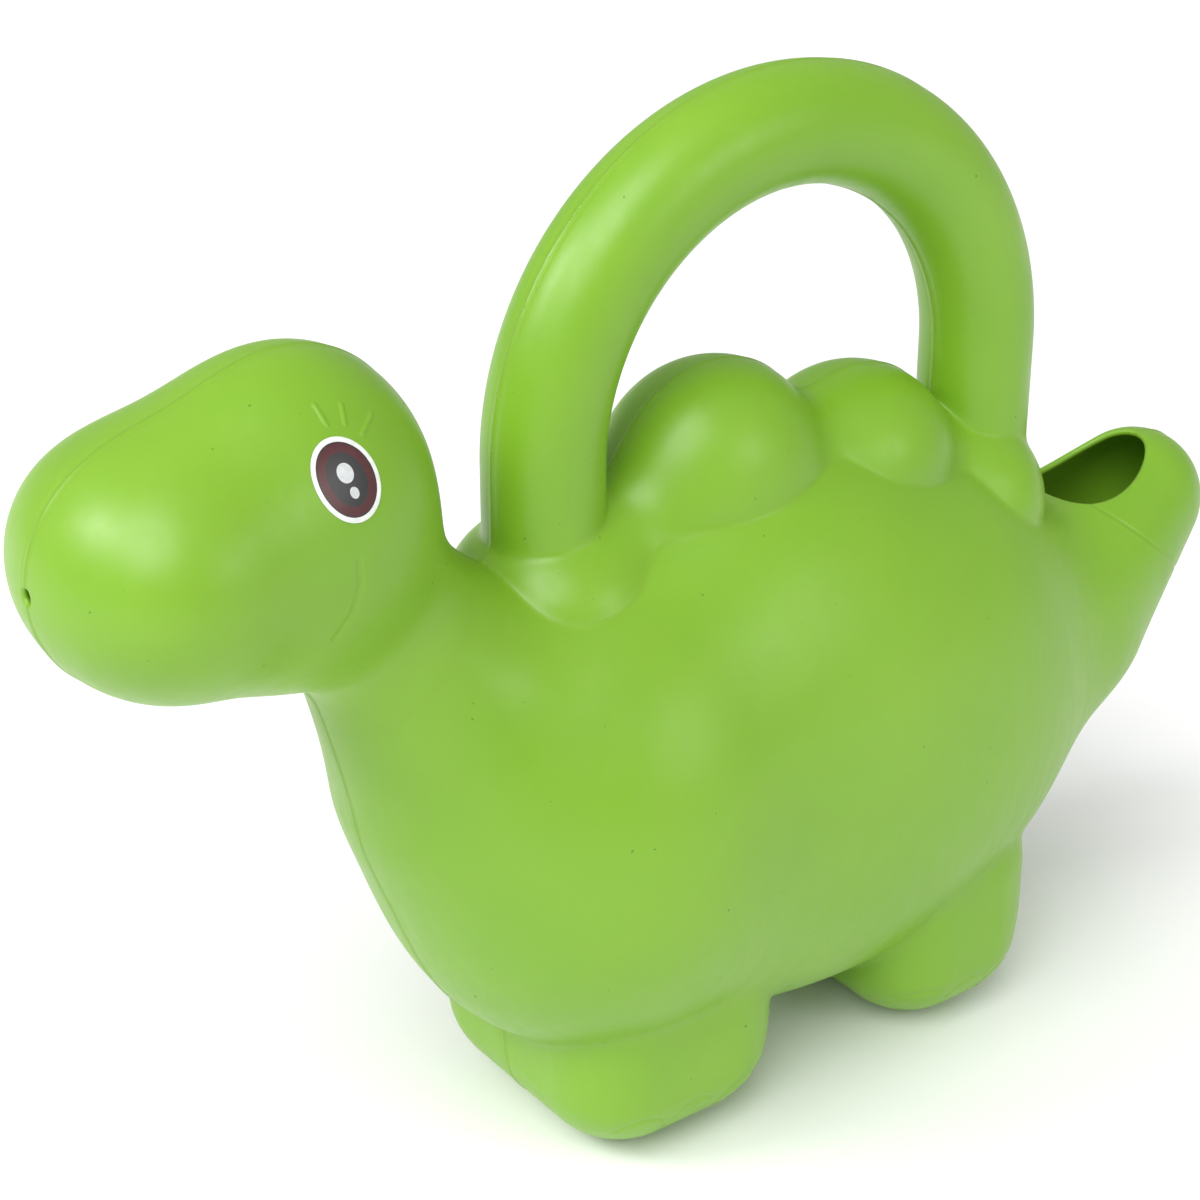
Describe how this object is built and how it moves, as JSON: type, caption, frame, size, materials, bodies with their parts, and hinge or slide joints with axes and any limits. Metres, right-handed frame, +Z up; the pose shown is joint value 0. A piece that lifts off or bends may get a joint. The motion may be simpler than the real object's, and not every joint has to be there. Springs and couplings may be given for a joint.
{
  "type": "watering can",
  "caption": "Child's watering can shaped as a long-necked dinosaur: hollow moulded body on two foot blocks, loop handle, filling mouth in the tail, pour hole in the snout, printed eye labels.",
  "frame": {"origin": "on the ground under the middle of the overall length, on the mould's parting plane", "axes": "+X towards the snout, +Y to the animal's left, +Z up"},
  "size_m": [0.3284, 0.108, 0.2467],
  "materials": {
    "green_moulding": "satin blow-moulded polyethylene, mass-coloured bright green, fine parting line",
    "label_white": "printed label film, white rim",
    "label_maroon": "printed label film, dark maroon",
    "label_black": "printed label film, black",
    "label_glint": "printed label film, off-white"
  },
  "bodies": {
    "root": {"head_shell_left": "green_moulding", "head_shell_right": "green_moulding", "body_shell_left": "green_moulding", "body_shell_right": "green_moulding", "tail_mouth_left": "green_moulding", "tail_mouth_right": "green_moulding", "front_feet_left": "green_moulding", "front_feet_right": "green_moulding", "rear_feet_left": "green_moulding", "rear_feet_right": "green_moulding", "ridge_left": "green_moulding", "ridge_right": "green_moulding", "handle_left": "green_moulding", "handle_right": "green_moulding", "eye_label_left": "label_white", "eye_label_right": "label_white", "eye_iris_left": "label_maroon", "eye_iris_right": "label_maroon", "eye_pupil_left": "label_black", "eye_pupil_right": "label_black", "eye_glints_left": "label_glint", "eye_glints_right": "label_glint"}
  },
  "joints": []
}
